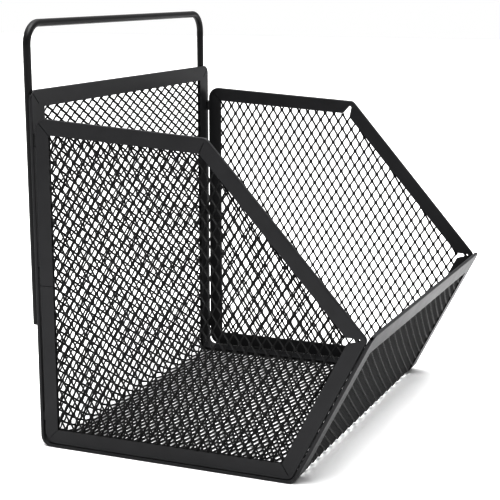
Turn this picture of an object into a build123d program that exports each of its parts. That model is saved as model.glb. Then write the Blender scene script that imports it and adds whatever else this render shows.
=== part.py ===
from build123d import *
from math import atan2, cos, degrees, radians, sin, tan
import os

os.makedirs("parts", exist_ok=True)

# A welded wire-mesh rack that hangs by a bent wire or stands on a desk.
# +Z is up, -Y is the open, slanted front, and X runs across the basket.
# The origin is on the floor, in the middle of the object's outline.

# ------------------------------------------------------------ driving dimensions, mm
basket_width = 270.0  # over the edge channels, along X
back_height = 240.5  # top of the back
side_back_height = 223.0  # top of a side panel at its back edge
side_front_height = 215.3  # the same at the front end of its top edge
left_top_depth = 123.4  # from the back sheet to the front end of the left panel's top edge
right_top_depth = 127.5  # the right panel is cut a little longer there
side_depth = 228.9  # from the back sheet to the panel's widest corner
side_corner_height = 98.6  # height of that corner
floor_depth = 180.0  # from the back sheet to the fold at the front
front_length = 111.4  # slanted front, from the fold to its top edge

channel = 2.4  # thickness of the folded edge channel
channel_wall = 0.6  # steel that the channel is folded from
mesh_thickness = channel - 2 * channel_wall
mesh_cover = 1.0  # steel left between the mesh and the channel's outer edge
fold_radius = 1.0  # rounding of the channel's folded edges
side_rim_width = 10.2
wrap_rim_width = 11.2  # along the top of the back
wrap_side_rim_width = 15.6  # along the sheet's two long sides
front_rim_width = 15.8  # the front's top edge is folded deeper

back_bend = 5.0  # inside radius where the back turns into the floor
front_bend = 7.0  # inside radius where the floor turns into the front
side_back_radius = 8.5  # a side panel's two corners at the back
side_front_radius = 4.5  # its widest corner and the one at the front end of its top
side_toe_radius = 6.0  # its corner at the front fold
wrap_corner_radius = 6.0  # the four free corners of the bent sheet

gap_bottom = 0.25  # between a side panel and the floor
gap_front = 0.25  # between a side panel and the slanted front
gap_back_low = 1.0  # between a side panel and the back, at the floor
gap_back_high = 1.4  # the same at the panel's top

wire_diameter = 5.0
wire_top = 282.8  # centre line of the hanging bar
wire_spacing = 260.8  # between the centre lines of the two legs
wire_end = 84.0  # the legs' lower ends, above the floor
wire_bend = 14.0  # centre line radius of the wire's two bends
wire_chamfer = 0.5

seam_width = 0.5
seam_depth = 0.35
weld_radius = 1.7
weld_length = 8.0
wire_weld_radius = 2.2
wire_weld_length = 9.0
weld_depth = 2.3  # centre of a side weld, inside the basket's outer face
back_weld_heights = (22.0, 120.0, 208.0)
floor_weld_distances = (45.0, 140.0)  # from the back sheet
front_weld_distances = (30.0, 90.0)  # from the fold
wire_weld_heights = (92.0, 160.0, 232.0)
seam_reach = 10.0  # mitred corners of the bent sheet: the seam's middle is half this far in
seam_length = 11.0

# ------------------------------------------------------------ places worked out from them
front_angle = atan2(side_corner_height - channel, side_depth - floor_depth)
front_up = Vector(-cos(front_angle), sin(front_angle))
front_out = Vector(-sin(front_angle), -cos(front_angle))
front_reach = floor_depth - (front_up * front_length + front_out * channel).X
back_reach = channel + wire_diameter
back_y = (front_reach - back_reach) / 2  # the back sheet's inside face
toe_y = back_y - floor_depth  # where the floor's top meets the front's inside face
half_width = basket_width / 2
wire_y = back_y + channel + wire_diameter / 2

back_sheet = Plane(origin=(0, back_y, back_height), x_dir=(1, 0, 0), z_dir=(0, -1, 0))
front_edge = Vector(toe_y, channel) + front_up * front_length
front_sheet = Plane(
    origin=(0, front_edge.X, front_edge.Y), x_dir=(1, 0, 0), z_dir=(0, -front_out.X, -front_out.Y)
)

toe_gap = gap_bottom / tan(front_angle) - gap_front / sin(front_angle)
side_low = channel + gap_bottom
side_radii = [side_back_radius, side_back_radius, side_front_radius, side_front_radius, side_toe_radius]


def side_plane(depth, left):
    """YZ plane at this depth inside one of the basket's two outer faces"""
    return Plane.YZ.offset((depth - half_width) if left else (half_width - depth))


def panel_corners(left):
    """A side panel's corners in the YZ plane: back low, back high, front high, widest, toe"""
    return [
        Vector(back_y - gap_back_low, side_low),
        Vector(back_y - gap_back_high, side_back_height),
        Vector(back_y - (left_top_depth if left else right_top_depth), side_front_height),
        Vector(back_y - side_depth, side_corner_height) - front_out * gap_front,
        Vector(toe_y - toe_gap, side_low),
    ]


def inward(corners, corner):
    """Unit direction from a side panel's corner towards the panel, halving its angle"""
    here = corners[corner]
    back = (corners[corner - 1] - here).normalized()
    ahead = (corners[(corner + 1) % len(corners)] - here).normalized()
    return (back + ahead).normalized()


def side_face(corners, inset=0.0):
    """Side panel's outline as a face, drawn this far inside its edge"""
    with BuildSketch() as outline:
        with BuildLine():
            FilletPolyline(*corners, radius=side_radii, close=True)
        make_face()
    with BuildSketch() as sharp:
        Polygon(*corners, align=None)
        offset(amount=-inset, kind=Kind.INTERSECTION, mode=Mode.REPLACE)
    return outline.sketch & sharp.sketch if inset else outline.sketch


def wrap_line(depth, back_trim, front_trim):
    """Bent sheet's path at this depth below its inside face, with its two ends trimmed"""
    toe_shift = depth * tan(front_angle / 2)
    front_end = Vector(toe_y, channel) + front_up * (front_length - front_trim) + front_out * depth
    return FilletPolyline(
        (back_y + depth, back_height - back_trim),
        (back_y + depth, channel - depth),
        (toe_y - toe_shift, channel - depth),
        front_end,
        radius=[back_bend + depth, front_bend + depth],
    )


def wrap_face(inner, outer, back_trim, front_trim):
    """Side view of the bent sheet between two depths, as a face"""
    with BuildSketch() as band:
        with BuildLine():
            near = wrap_line(inner, back_trim, front_trim)
            far = wrap_line(outer, back_trim, front_trim)
            Line(near @ 0, far @ 0)
            Line(near @ 1, far @ 1)
        make_face()
    return band.sketch


def open_notch(corners, corner, tip, mouth, tip_width, mouth_width):
    """V-shaped notch with a round tip that opens towards the panel, as a face"""
    along = inward(corners, corner)
    across = Vector(-along.Y, along.X)
    start = corners[corner] + along * tip
    end = corners[corner] + along * mouth
    with BuildSketch() as notch:
        with BuildLine():
            Polyline(
                start + across * tip_width / 2,
                end + across * mouth_width / 2,
                end - across * mouth_width / 2,
                start - across * tip_width / 2,
            )
            CenterArc(start, tip_width / 2, degrees(atan2(across.Y, across.X)), 180)
        make_face()
    return notch.sketch


def seam(corners, corner, start, length):
    """Narrow strip from near a side panel's corner towards the panel, as a face"""
    along = inward(corners, corner)
    middle = corners[corner] + along * (start + length / 2)
    with BuildSketch() as strip:
        with Locations(middle):
            Rectangle(length, seam_width, rotation=degrees(atan2(along.Y, along.X)))
    return strip.sketch


sides = (("left", True), ("right", False))
relief_radius = 0.9
relief_distance = 5.4  # from the widest corner
butt_seam_height = 112.0

# ------------------------------------------------------------ the two side panels
side_pieces = {}
for side, left in sides:
    inside = 1 if left else -1
    corners = panel_corners(left)
    # Widest corner, both sides: an open notch and a round relief beyond it
    widest_notch = open_notch(corners, 3, tip=9.0, mouth=17.0, tip_width=3.0, mouth_width=5.4)
    widest_relief = corners[3] + inward(corners, 3) * relief_distance
    # Front end of the top edge, right side only: the notch stayed open there
    top_notch = open_notch(corners, 2, tip=6.0, mouth=15.0, tip_width=3.2, mouth_width=8.0)
    with BuildPart() as side_mesh:
        with BuildSketch(side_plane(channel_wall, left)):
            add(side_face(corners, mesh_cover))
            add(widest_notch, mode=Mode.SUBTRACT)
            if not left:
                add(top_notch, mode=Mode.SUBTRACT)
        extrude(amount=inside * mesh_thickness)
    side_mesh.part.label = side + "_side_mesh"
    export_step(side_mesh.part, "parts/" + side + "_side_mesh.step")

    with BuildPart() as side_rim:
        with BuildSketch(side_plane(0, left)):
            add(side_face(corners))
        extrude(amount=inside * channel)
        faces = side_rim.faces().sort_by(Axis.X)
        fillet(faces[0].edges() + faces[-1].edges(), fold_radius)
        with BuildSketch(side_plane(0, left)):
            add(side_face(corners, side_rim_width))
            add(widest_notch)
            with Locations(widest_relief):
                Circle(relief_radius)
            if not left:
                add(top_notch)
        extrude(amount=inside * channel, mode=Mode.SUBTRACT)
        # the slot that grips the mesh
        add(side_mesh.part, mode=Mode.SUBTRACT)
        # mitred and butted ends of the channel, as shallow seams on both faces
        for depth in (0, channel - seam_depth):
            with BuildSketch(side_plane(depth, left)):
                for corner in (0, 1, 2, 4):
                    add(seam(corners, corner, start=3.5, length=13.0))
                with Locations((back_y - gap_back_low - side_rim_width / 2, butt_seam_height)):
                    Rectangle(side_rim_width + 3, seam_width)
            extrude(amount=inside * seam_depth, mode=Mode.SUBTRACT)
    side_rim.part.label = side + "_side_rim"
    export_step(side_rim.part, "parts/" + side + "_side_rim.step")
    side_pieces[side] = (side_mesh, side_rim)

# ------------------------------------------------------------ the bent back, floor and front
with BuildPart() as wrap_mesh:
    with BuildSketch(Plane.YZ.offset(mesh_cover - half_width)):
        add(wrap_face(channel_wall, channel - channel_wall, mesh_cover, mesh_cover))
    extrude(amount=basket_width - 2 * mesh_cover)
wrap_mesh.part.label = "wrap_mesh"
export_step(wrap_mesh.part, "parts/wrap_mesh.step")

with BuildPart() as wrap_rim:
    with BuildSketch(side_plane(0, True)):
        add(wrap_face(0, channel, 0, 0))
    extrude(amount=basket_width)
    # the four free corners, then the channel's folded edges
    ends = wrap_rim.edges().filter_by(lambda edge: abs(edge.length - channel) < 0.01)
    fillet(ends, wrap_corner_radius)
    rims = wrap_rim.edges().filter_by(
        lambda edge: abs(edge.center().X) > 1 or edge.center().Z > side_corner_height
    )
    fillet([edge for edge in rims if abs(edge.length - channel) > 0.01], fold_radius)
    # the window, and the slot that grips the mesh
    with BuildSketch(side_plane(wrap_side_rim_width, True)):
        add(wrap_face(-1, channel + 1, wrap_rim_width, front_rim_width))
    extrude(amount=basket_width - 2 * wrap_side_rim_width, mode=Mode.SUBTRACT)
    add(wrap_mesh.part, mode=Mode.SUBTRACT)
    # mitred ends of the channel at the four free corners, as shallow seams on both faces
    for sheet in (back_sheet, front_sheet):
        for face_plane, depth in ((sheet, seam_depth), (sheet.offset(-channel), -seam_depth)):
            with BuildSketch(face_plane):
                for hand in (-1, 1):
                    with Locations((hand * (half_width - seam_reach / 2), -seam_reach / 2)):
                        Rectangle(seam_length, seam_width, rotation=hand * 45)
            extrude(amount=-depth, mode=Mode.SUBTRACT)
wrap_rim.part.label = "wrap_rim"
export_step(wrap_rim.part, "parts/wrap_rim.step")

# ------------------------------------------------------------ the hanging wire
with BuildPart() as hanger_wire:
    leg = wire_spacing / 2
    with BuildLine(Plane.XZ.offset(-wire_y)) as wire_line:
        FilletPolyline((-leg, wire_end), (-leg, wire_top), (leg, wire_top), (leg, wire_end), radius=wire_bend)
    with BuildSketch(Plane(origin=wire_line.line @ 0, z_dir=wire_line.line % 0)):
        Circle(wire_diameter / 2)
    sweep()
    chamfer(hanger_wire.edges().group_by(Axis.Z)[0], wire_chamfer)
hanger_wire.part.label = "hanger_wire"
export_step(hanger_wire.part, "parts/hanger_wire.step")


def side_weld_places(left):
    """Planes in the middle of the gap round a side panel, with Z along the gap"""
    x = side_plane(weld_depth, left).origin.X
    rise = side_back_height - side_low
    for height in back_weld_heights:
        gap = gap_back_low + (gap_back_high - gap_back_low) * (height - side_low) / rise
        yield Plane(origin=(x, back_y - gap / 2, height), z_dir=(0, 0, 1))
    for distance in floor_weld_distances:
        yield Plane(origin=(x, back_y - distance, channel + gap_bottom / 2), z_dir=(0, 1, 0))
    for distance in front_weld_distances:
        middle = Vector(toe_y, channel) + front_up * distance - front_out * gap_front / 2
        yield Plane(origin=(x, middle.X, middle.Y), z_dir=(0, front_up.X, front_up.Y))


# ------------------------------------------------------------ the tack welds
for side, left in sides:
    with BuildPart() as side_welds:
        for place in side_weld_places(left):
            with Locations(place):
                Cylinder(weld_radius, weld_length)
        fillet(side_welds.edges().filter_by(GeomType.CIRCLE), weld_radius * 0.9)
        for neighbour in (*side_pieces[side], wrap_rim, wrap_mesh):
            add(neighbour.part, mode=Mode.SUBTRACT)
    side_welds.part.label = side + "_side_welds"
    export_step(side_welds.part, "parts/" + side + "_side_welds.step")

with BuildPart() as hanger_welds:
    weld_y = back_y + channel + wire_weld_radius * 0.3
    places = [(hand * leg, weld_y, height) for hand in (-1, 1) for height in wire_weld_heights]
    with Locations(*places):
        Cylinder(wire_weld_radius, wire_weld_length)
    fillet(hanger_welds.edges().filter_by(GeomType.CIRCLE), wire_weld_radius * 0.6)
    for neighbour in (hanger_wire, wrap_rim, wrap_mesh):
        add(neighbour.part, mode=Mode.SUBTRACT)
hanger_welds.part.label = "hanger_welds"
export_step(hanger_welds.part, "parts/hanger_welds.step")
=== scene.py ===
import math

import bpy
from mathutils import Matrix, Vector


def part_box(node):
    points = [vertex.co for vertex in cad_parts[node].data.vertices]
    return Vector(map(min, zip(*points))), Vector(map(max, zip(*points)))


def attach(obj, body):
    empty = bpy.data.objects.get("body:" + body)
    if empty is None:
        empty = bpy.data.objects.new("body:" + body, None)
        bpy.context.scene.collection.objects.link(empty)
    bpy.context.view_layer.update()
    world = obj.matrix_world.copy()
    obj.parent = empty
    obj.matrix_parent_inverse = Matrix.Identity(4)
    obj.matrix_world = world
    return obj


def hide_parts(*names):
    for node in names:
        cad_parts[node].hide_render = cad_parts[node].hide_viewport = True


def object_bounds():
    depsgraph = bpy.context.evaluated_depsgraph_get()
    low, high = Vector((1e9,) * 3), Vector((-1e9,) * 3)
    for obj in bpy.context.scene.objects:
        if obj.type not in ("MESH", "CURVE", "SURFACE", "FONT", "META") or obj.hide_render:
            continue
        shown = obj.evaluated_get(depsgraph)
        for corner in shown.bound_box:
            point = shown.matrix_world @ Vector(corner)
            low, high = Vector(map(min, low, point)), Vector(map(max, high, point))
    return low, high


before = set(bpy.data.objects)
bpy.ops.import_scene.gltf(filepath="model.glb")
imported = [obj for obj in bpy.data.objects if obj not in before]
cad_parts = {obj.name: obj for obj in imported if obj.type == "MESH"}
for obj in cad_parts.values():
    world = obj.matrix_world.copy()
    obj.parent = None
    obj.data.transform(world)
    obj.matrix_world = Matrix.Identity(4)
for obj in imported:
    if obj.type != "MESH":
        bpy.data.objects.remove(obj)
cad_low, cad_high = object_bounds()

# The rack: black powder-coated channel rims round expanded-metal panels, with a bent hanging
# wire. The CAD nodes give the rims, wire and welds; the open mesh is built here, strand by strand.
# Lengths are in millimetres until a point goes into a mesh, and MM turns them into metres.

MM = 0.001

# ------------------------------------------------------------ the frame's own sizes
wrap_low, wrap_high = (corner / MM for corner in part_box("wrap_rim"))
panel_low, panel_high = (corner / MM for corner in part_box("left_side_rim"))
CHANNEL = panel_high.x - panel_low.x  # thickness of the folded edge channel
BACK_Y = wrap_high.y - CHANNEL  # the back sheet's inside face
BACK_TOP = wrap_high.z
HALF_WIDTH = wrap_high.x
FLOOR_DEPTH = 180.0
FRONT_LENGTH = 111.4
FRONT_RISE = 96.2  # of the side panel's front edge, from the floor to its widest corner
FRONT_RUN = 48.9
FRONT_ANGLE = math.atan2(FRONT_RISE, FRONT_RUN)
BACK_BEND = 5.0  # inside radii of the bent sheet
FRONT_BEND = 7.0
SHEET_LENGTH = 529.7  # the bent sheet along its middle, laid flat
SIDE_RIM = 10.2  # widths of the rims
WRAP_RIM = 11.2  # along the top of the back
WRAP_SIDE_RIM = 15.6  # along the bent sheet's two long sides
FRONT_RIM = 15.8
SHEET_TOP = 225.0  # height from which the side sheets' rows are counted
LEFT_TOP_DEPTH = 123.4  # from the back sheet to the front end of a panel's top edge
RIGHT_TOP_DEPTH = 127.5

# ------------------------------------------------------------ expanded metal
# Strand width and thickness, half the length of a knuckle, and how far the strands turn out of
# the sheet's plane. The side sheets and the bent sheet are two gauges of mesh.
SIDE_STRAND = (1.15, 0.7, 0.85, math.radians(-48))
WRAP_STRAND = (1.25, 0.75, 0.6, math.radians(-50))
SLOT_REACH = 0.8  # how far a knuckle may lie inside the channel and still be drawn
LATTICE_ROUNDS = 6  # each round brings a knuckle closer to its place on a leaning lattice
SHEET_MARGIN = 12.0  # knuckles are listed this far past a sheet's edges
FIRST_NUMBERS = range(-60, 90)
SECOND_NUMBERS = range(-60, 160)
END_CORNERS = 6  # points in one end of a knuckle


def sheet_lattice(origin, pitch, growth, lean, phase):
    """Function from knuckle numbers to a place on the sheet, for a slightly pulled lattice

    pitch holds a diamond's two widths, growth how fast the first one grows, lean the slope of
    the two directions, and phase the numbers at the origin."""

    def place(first, second):
        du = dv = 0.0
        for _ in range(LATTICE_ROUNDS):
            dv = (second - phase[1]) * pitch[1] / 2 - lean[1] * du
            du = (first - phase[0]) * pitch[0] / 2 / (1 - growth * du) - lean[0] * dv
        return origin[0] + du, origin[1] + dv

    return place


def knuckle_grid(lattice, extent, long_first):
    """Knuckles that can lie on a sheet, keyed by their short-way and long-way numbers"""
    spots = {}
    for first in FIRST_NUMBERS:
        for second in SECOND_NUMBERS:
            if (first + second) % 2 == 0:
                continue
            u, v = lattice(first, second)
            in_width = -SHEET_MARGIN < u < extent[0] + SHEET_MARGIN
            if in_width and -SHEET_MARGIN < v < extent[1] + SHEET_MARGIN:
                key = (second, first) if long_first else (first, second)
                spots[key] = Vector((u, v))
    return spots


def expanded_metal(name, spots, long_first, shown, to_space, strand):
    """One sheet of expanded metal as a closed mesh: knuckles joined by slanting strands

    spots are the knuckles, shown(spot) says which lie in the open window, and to_space turns a
    place on the sheet and a height above it into a point."""
    short_way, long_way = Vector((1, 0)), Vector((0, 1))
    if long_first:
        short_way, long_way = long_way, short_way
    width, thickness, bond, tilt = strand
    across, rise = math.cos(tilt), math.sin(tilt)
    inside = {key for key, spot in spots.items() if shown(spot)}
    kept = set(inside)
    for i, j in inside:
        kept.update(key for key in ((i + a, j + b) for a in (-1, 1) for b in (-1, 1)) if key in spots)
    points = []
    faces = []
    first_index = {}
    for key in sorted(kept):
        first_index[key] = len(points)
        for end in (-1, 1):
            for step in (-1, 0, 1):
                for side in (-1, 1):
                    flat = step * width * across - side * thickness / 2 * rise
                    height = step * width * rise + side * thickness / 2 * across
                    spot = spots[key] + long_way * (end * bond) + short_way * flat
                    points.append(to_space(spot.x, spot.y, height))

    def corner(key, end, step, side):
        start = first_index[key] + (0 if end < 0 else END_CORNERS)
        return start + (step + 1) * 2 + (0 if side < 0 else 1)

    def tube(ring_a, ring_b):
        for k in range(4):
            faces.append((ring_a[k], ring_a[(k + 1) % 4], ring_b[(k + 1) % 4], ring_b[k]))

    def ring(key, end, step):
        """Corners of one strand's section where it leaves a knuckle"""
        return [
            corner(key, end, step, -1),
            corner(key, end, step + 1, -1),
            corner(key, end, step + 1, 1),
            corner(key, end, step, 1),
        ]

    for key in sorted(kept):
        i, j = key
        for step in (-1, 0):
            near, far = ring(key, -1, step), ring(key, 1, step)
            faces.append((near[0], near[1], far[1], far[0]))
            faces.append((near[3], far[3], far[2], near[2]))
            if step < 0:
                faces.append((near[0], far[0], far[3], near[3]))
            else:
                faces.append((near[1], near[2], far[2], far[1]))
        for step, turn in ((0, 1), (-1, -1)):
            ahead = (i + turn, j + 1)
            if ahead in kept and (key in inside or ahead in inside):
                tube(ring(key, 1, step), ring(ahead, -1, -1 - step))
            else:
                faces.append(tuple(ring(key, 1, step)))
            behind = (i + turn, j - 1)
            if not (behind in kept and (key in inside or behind in inside)):
                faces.append(tuple(reversed(ring(key, -1, step))))
    mesh = bpy.data.meshes.new(name)
    mesh.from_pydata(points, [], faces)
    mesh.validate()
    piece = bpy.data.objects.new(name, mesh)
    bpy.context.scene.collection.objects.link(piece)
    return piece


# A side panel's corners, as distances in front of the back sheet and heights
BACK_LOW = (1.0, 2.6)
BACK_HIGH = (1.4, 223.0)
TOP_HEIGHT = 215.3
WIDEST = (228.7, 98.5)
TOE = (179.8, 2.6)


def side_window(top_depth, bare_spots):
    """Test for a place on a side sheet that shows inside its rim

    The panel's corners are distances in front of the back sheet and heights. bare_spots are the
    places behind the rim's open notches, where the sheet is cut away, with their sizes."""
    corners = (BACK_LOW, BACK_HIGH, (top_depth, TOP_HEIGHT), WIDEST, TOE)

    def shown(spot):
        u, height = spot.x, SHEET_TOP - spot.y
        for k, (u0, z0) in enumerate(corners):
            u1, z1 = corners[(k + 1) % len(corners)]
            edge_length = math.hypot(u1 - u0, z1 - z0)
            inward = ((u - u0) * (z1 - z0) - (height - z0) * (u1 - u0)) / edge_length
            if inward < SIDE_RIM - SLOT_REACH:
                return False
        return all(math.hypot(u - place[0], height - place[1]) > place[2] for place in bare_spots)

    return shown


# Open notches: depth, height and the radius within which the sheet is bare
WIDEST_NOTCH = (215.5, 99.0, 4.0)
TOP_NOTCH = (121.5, 205.5, 4.0)


def side_to_space(left):
    """Function from a place on a side sheet to a point, with height counted towards -X"""
    middle = (HALF_WIDTH - CHANNEL / 2) * (-1 if left else 1)
    return lambda u, v, height: (
        (middle - height) * MM,
        (BACK_Y - u) * MM,
        (SHEET_TOP - v) * MM,
    )


def bent_path(distance):
    """Point and heading on the bent sheet's middle, this far down from the top of the back"""
    depth = CHANNEL / 2
    toe = FRONT_BEND * math.tan(FRONT_ANGLE / 2)
    runs = (
        (BACK_TOP - CHANNEL - BACK_BEND, 0.0),
        ((BACK_BEND + depth) * math.pi / 2, BACK_BEND + depth),
        (FLOOR_DEPTH - BACK_BEND - toe, 0.0),
        ((FRONT_BEND + depth) * FRONT_ANGLE, FRONT_BEND + depth),
        (FRONT_LENGTH - toe, 0.0),
    )
    point = Vector((BACK_Y + depth, BACK_TOP))
    heading = -math.pi / 2
    for k, (length, radius) in enumerate(runs):
        part = min(distance, length) if k < len(runs) - 1 else distance
        if radius:
            centre = point + Vector((math.sin(heading), -math.cos(heading))) * radius
            heading -= part / radius
            point = centre - Vector((math.sin(heading), -math.cos(heading))) * radius
        else:
            point = point + Vector((math.cos(heading), math.sin(heading))) * part
        distance -= part
        if distance <= 0:
            break
    return point, heading


def wrap_to_space(u, v, height):
    """Point for a place on the bent sheet, with height counted towards the basket's inside"""
    point, heading = bent_path(v)
    point = point + Vector((math.sin(heading), -math.cos(heading))) * height
    return ((u - HALF_WIDTH) * MM, point.x * MM, point.y * MM)


def wrap_window(spot):
    """True where the bent sheet shows inside its rim"""
    return (
        WRAP_SIDE_RIM - SLOT_REACH < spot.x < 2 * HALF_WIDTH - WRAP_SIDE_RIM + SLOT_REACH
        and WRAP_RIM - SLOT_REACH < spot.y < SHEET_LENGTH - FRONT_RIM + SLOT_REACH
    )


# ------------------------------------------------------------ materials
COAT_IOR = 1.45
PATCH_SCALE = 60.0  # patches of changing tone and gloss, per metre
GLOSS_CHANGE = 0.05
TONE_CHANGE = 0.25


def powder_coat(name, colour, roughness, peel_size, peel_depth):
    """Satin black powder coat: orange-peel bump, and slight changes of tone and gloss"""
    material = bpy.data.materials.new(name)
    material.use_nodes = True
    nodes, links = material.node_tree.nodes, material.node_tree.links
    shader = nodes["Principled BSDF"]
    shader.inputs["IOR"].default_value = COAT_IOR
    place = nodes.new("ShaderNodeTexCoord")
    peel = nodes.new("ShaderNodeTexNoise")
    peel.inputs["Scale"].default_value = 1 / (peel_size * MM)
    peel.inputs["Detail"].default_value = 3.0
    patch = nodes.new("ShaderNodeTexNoise")
    patch.inputs["Scale"].default_value = PATCH_SCALE
    patch.inputs["Detail"].default_value = 4.0
    for texture in (peel, patch):
        links.new(place.outputs["Object"], texture.inputs["Vector"])
    tone = nodes.new("ShaderNodeMapRange")
    tone.inputs["To Min"].default_value = 1 - TONE_CHANGE
    tone.inputs["To Max"].default_value = 1 + TONE_CHANGE
    links.new(patch.outputs["Fac"], tone.inputs["Value"])
    paint = nodes.new("ShaderNodeMix")
    paint.data_type = "RGBA"
    paint.blend_type = "MULTIPLY"
    paint.inputs["Factor"].default_value = 1.0
    paint.inputs["A"].default_value = (*colour, 1)
    links.new(tone.outputs["Result"], paint.inputs["B"])
    links.new(paint.outputs["Result"], shader.inputs["Base Color"])
    gloss = nodes.new("ShaderNodeMapRange")
    gloss.inputs["To Min"].default_value = roughness - GLOSS_CHANGE
    gloss.inputs["To Max"].default_value = roughness + GLOSS_CHANGE
    links.new(patch.outputs["Fac"], gloss.inputs["Value"])
    links.new(gloss.outputs["Result"], shader.inputs["Roughness"])
    bump = nodes.new("ShaderNodeBump")
    bump.inputs["Distance"].default_value = peel_depth * MM
    links.new(peel.outputs["Fac"], bump.inputs["Height"])
    links.new(bump.outputs["Normal"], shader.inputs["Normal"])
    return material


def give(piece, material):
    """Put one material on every slot of a piece"""
    if not piece.material_slots:
        piece.data.materials.append(material)
    for slot in piece.material_slots:
        slot.material = material


rim_coat = powder_coat("rim_powder_coat", (0.038, 0.038, 0.040), 0.38, 0.9, 0.03)
mesh_coat = powder_coat("mesh_powder_coat", (0.018, 0.018, 0.0185), 0.45, 0.4, 0.01)
wire_coat = powder_coat("wire_powder_coat", (0.02, 0.02, 0.021), 0.33, 0.8, 0.01)
weld_coat = powder_coat("weld_powder_coat", (0.024, 0.024, 0.025), 0.38, 1.2, 0.12)

# ------------------------------------------------------------ the open sheets
wrap_lattice = sheet_lattice(
    origin=(143.6, 43.3), pitch=(12.575, 6.882), growth=0.00035, lean=(0.0797, -0.00385), phase=(0.690, 0.001)
)
left_lattice = sheet_lattice(
    origin=(75.2, 112.1), pitch=(7.084, 11.299), growth=0.000304, lean=(-0.0459, 0.0021), phase=(0.108, -0.493)
)
right_lattice = sheet_lattice(
    origin=(132.9, 95.6), pitch=(7.496, 11.449), growth=0.0, lean=(0.0185, -0.0341), phase=(0.104, 0.023)
)
SIDE_EXTENT = (235.0, 225.0)
wrap_sheet = expanded_metal(
    "wrap_expanded_metal",
    knuckle_grid(wrap_lattice, (2 * HALF_WIDTH, SHEET_LENGTH), True),
    True,
    wrap_window,
    wrap_to_space,
    WRAP_STRAND,
)
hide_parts("wrap_mesh")
left_sheet = expanded_metal(
    "left_side_expanded_metal",
    knuckle_grid(left_lattice, SIDE_EXTENT, False),
    False,
    side_window(LEFT_TOP_DEPTH, [WIDEST_NOTCH]),
    side_to_space(True),
    SIDE_STRAND,
)
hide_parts("left_side_mesh")
right_sheet = expanded_metal(
    "right_side_expanded_metal",
    knuckle_grid(right_lattice, SIDE_EXTENT, False),
    False,
    side_window(RIGHT_TOP_DEPTH, [WIDEST_NOTCH, TOP_NOTCH]),
    side_to_space(False),
    SIDE_STRAND,
)
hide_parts("right_side_mesh")
for sheet in (wrap_sheet, left_sheet, right_sheet):
    give(sheet, mesh_coat)
    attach(sheet, "root")

for node, coat in (
    ("wrap_rim", rim_coat),
    ("left_side_rim", rim_coat),
    ("right_side_rim", rim_coat),
    ("hanger_wire", wire_coat),
    ("left_side_welds", weld_coat),
    ("right_side_welds", weld_coat),
    ("hanger_welds", weld_coat),
):
    give(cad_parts[node], coat)

# ------------------------------------------------------------ floor, light and camera
FLOOR_SIZE = 12.0
floor_mesh = bpy.data.meshes.new("studio_floor")
half_floor = FLOOR_SIZE / 2
floor_mesh.from_pydata(
    [(x * half_floor, y * half_floor, cad_low.z) for x, y in ((-1, -1), (1, -1), (1, 1), (-1, 1))],
    [],
    [(0, 1, 2, 3)],
)
floor = bpy.data.objects.new("studio_floor", floor_mesh)
bpy.context.scene.collection.objects.link(floor)
floor_paint = bpy.data.materials.new("pale_floor")
floor_paint.use_nodes = True
floor_shader = floor_paint.node_tree.nodes["Principled BSDF"]
floor_shader.inputs["Base Color"].default_value = (0.9, 0.9, 0.9, 1)
floor_shader.inputs["Roughness"].default_value = 0.9
give(floor, floor_paint)

VIEW_GAMMA = 0.6  # darkens partly covered strands; the paint colours are chosen with it
VIEW_YAW = math.radians(66.89)  # the camera's heading, from +Y towards +X
VIEW_PITCH = math.radians(11.72)  # how far it looks down
VIEW_ROLL = math.radians(-0.19)
CAMERA_PLACE = Vector((-845.9, BACK_Y - 455.9, 308.3)) * MM
FOCAL_LENGTH = 93.0
SENSOR_WIDTH = 36.0
NEAR_CLIP = 0.01

forward = Vector(
    (
        math.sin(VIEW_YAW) * math.cos(VIEW_PITCH),
        math.cos(VIEW_YAW) * math.cos(VIEW_PITCH),
        -math.sin(VIEW_PITCH),
    )
)
right = Vector((math.cos(VIEW_YAW), -math.sin(VIEW_YAW), 0))
up = right.cross(forward)
camera_x = right * math.cos(VIEW_ROLL) + up * math.sin(VIEW_ROLL)
camera_y = up * math.cos(VIEW_ROLL) - right * math.sin(VIEW_ROLL)
camera_data = bpy.data.cameras.new("camera")
camera_data.sensor_width = SENSOR_WIDTH
camera_data.lens = FOCAL_LENGTH
camera_data.clip_start = NEAR_CLIP
camera = bpy.data.objects.new("camera", camera_data)
camera.matrix_world = Matrix.Translation(CAMERA_PLACE) @ Matrix(
    (camera_x, camera_y, -forward)
).transposed().to_4x4()
bpy.context.scene.collection.objects.link(camera)
bpy.context.scene.camera = camera

DIM_FROM, DIM_TO = 0.35, 0.95  # cosines to the camera's direction between which the room dims
ROOM_FAR, ROOM_NEAR = 1.0, 0.15

world = bpy.data.worlds.new("studio")
bpy.context.scene.world = world
world.use_nodes = True
world_nodes, world_links = world.node_tree.nodes, world.node_tree.links
backdrop = world_nodes["Background"]
backdrop.inputs["Color"].default_value = (1, 1, 1, 1)
backdrop.inputs["Strength"].default_value = 1.0
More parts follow.
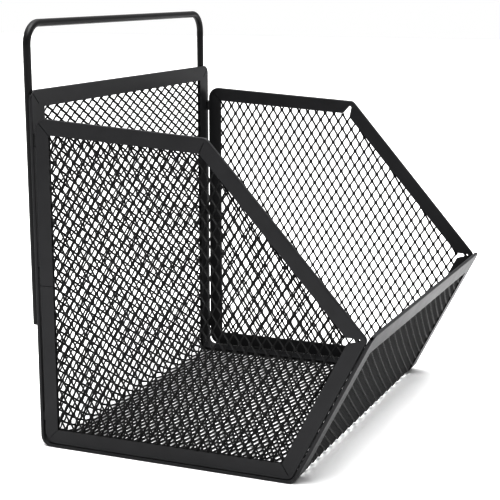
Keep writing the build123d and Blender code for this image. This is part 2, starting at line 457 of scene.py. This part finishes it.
# The room's own light is full behind the rack and weak on the camera's side
room = world_nodes.new("ShaderNodeBackground")
direction = world_nodes.new("ShaderNodeTexCoord")
facing = world_nodes.new("ShaderNodeVectorMath")
facing.operation = "DOT_PRODUCT"
facing.inputs[1].default_value = -forward
falloff = world_nodes.new("ShaderNodeMapRange")
falloff.inputs["From Min"].default_value = DIM_FROM
falloff.inputs["From Max"].default_value = DIM_TO
falloff.inputs["To Min"].default_value = ROOM_FAR
falloff.inputs["To Max"].default_value = ROOM_NEAR
world_links.new(direction.outputs["Generated"], facing.inputs[0])
world_links.new(facing.outputs["Value"], falloff.inputs["Value"])
world_links.new(falloff.outputs["Result"], room.inputs["Strength"])
seen = world_nodes.new("ShaderNodeLightPath")
choice = world_nodes.new("ShaderNodeMixShader")
world_links.new(seen.outputs["Is Camera Ray"], choice.inputs["Fac"])
world_links.new(room.outputs["Background"], choice.inputs[1])
world_links.new(backdrop.outputs["Background"], choice.inputs[2])
world_links.new(choice.outputs["Shader"], world_nodes["World Output"].inputs["Surface"])


SOFTBOX_PLACE = Vector((-0.3, -0.2, 1.4))
SOFTBOX_TARGET = Vector((0, 0, 0.1))
SOFTBOX_SIZE = 1.0
SOFTBOX_POWER = 20.0
CEILING_STRENGTH = 3.4
CEILING_ANGLE = math.radians(100)

softbox_data = bpy.data.lights.new("overhead_softbox", "AREA")
softbox_data.size = SOFTBOX_SIZE
softbox_data.energy = SOFTBOX_POWER
softbox = bpy.data.objects.new("overhead_softbox", softbox_data)
softbox.location = SOFTBOX_PLACE
softbox.rotation_euler = (SOFTBOX_TARGET - SOFTBOX_PLACE).to_track_quat("-Z", "Y").to_euler()
bpy.context.scene.collection.objects.link(softbox)
# Unturned, so it shines straight down
sky_data = bpy.data.lights.new("ceiling_glow", "SUN")
sky_data.energy = CEILING_STRENGTH
sky_data.angle = CEILING_ANGLE
sky = bpy.data.objects.new("ceiling_glow", sky_data)
bpy.context.scene.collection.objects.link(sky)
bpy.context.scene.view_settings.view_transform = "Standard"
bpy.context.scene.view_settings.gamma = VIEW_GAMMA
